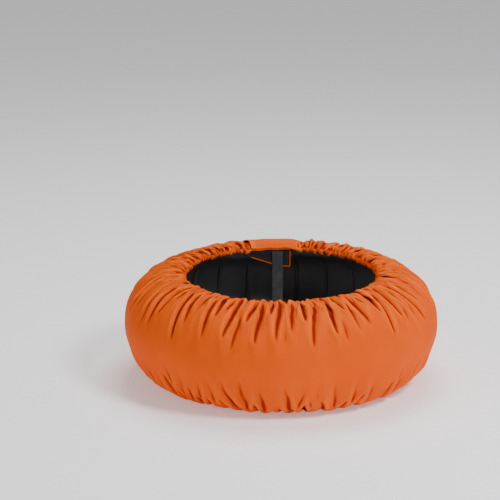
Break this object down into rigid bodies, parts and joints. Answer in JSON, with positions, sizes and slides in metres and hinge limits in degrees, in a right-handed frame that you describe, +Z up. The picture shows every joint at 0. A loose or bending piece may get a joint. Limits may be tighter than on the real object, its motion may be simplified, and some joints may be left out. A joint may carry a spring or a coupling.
{
  "type": "motorcycle tire warmer",
  "caption": "Gathered ring-shaped cover that wraps a rear motorcycle tire and heats it, with elastic mouths, a padded heated belt and a hook and loop closure with a strap.",
  "frame": {"origin": "on the floor under the middle of the ring", "axes": "+Z up along the ring's axis, -Y towards the viewer, +Y to the closure"},
  "size_m": [0.6798, 0.6799, 0.2396],
  "materials": {
    "cover_cloth": "orange coated nylon, satin",
    "black_lining": "black heat-proof lining cloth, matte",
    "grey_felt": "grey needled felt",
    "red_silicone": "red silicone insulation",
    "white_elastic": "white braided elastic",
    "grey_webbing": "dark grey woven webbing",
    "black_tape": "black hook and loop tape",
    "black_rubber": "black rubber, satin",
    "tinned_metal": "tinned metal"
  },
  "bodies": {
    "root": {"outer_cover": "cover_cloth", "felt_insulation": "grey_felt", "heating_wire": "red_silicone", "inner_lining": "black_lining", "top_elastic": "white_elastic", "bottom_elastic": "white_elastic", "cable_gland": "black_rubber", "gland_washer": "tinned_metal", "live_splice": "tinned_metal", "neutral_splice": "tinned_metal", "thermostat": "tinned_metal", "live_core": "red_silicone", "thermostat_core": "red_silicone", "neutral_core": "red_silicone", "hook_tape": "black_tape", "loop_tape": "black_tape", "tongue_lining": "black_lining", "tongue_piping": "cover_cloth", "closing_strap": "grey_webbing", "strap_loop_patch": "black_tape", "strap_hook_patch": "black_tape"}
  },
  "joints": []
}
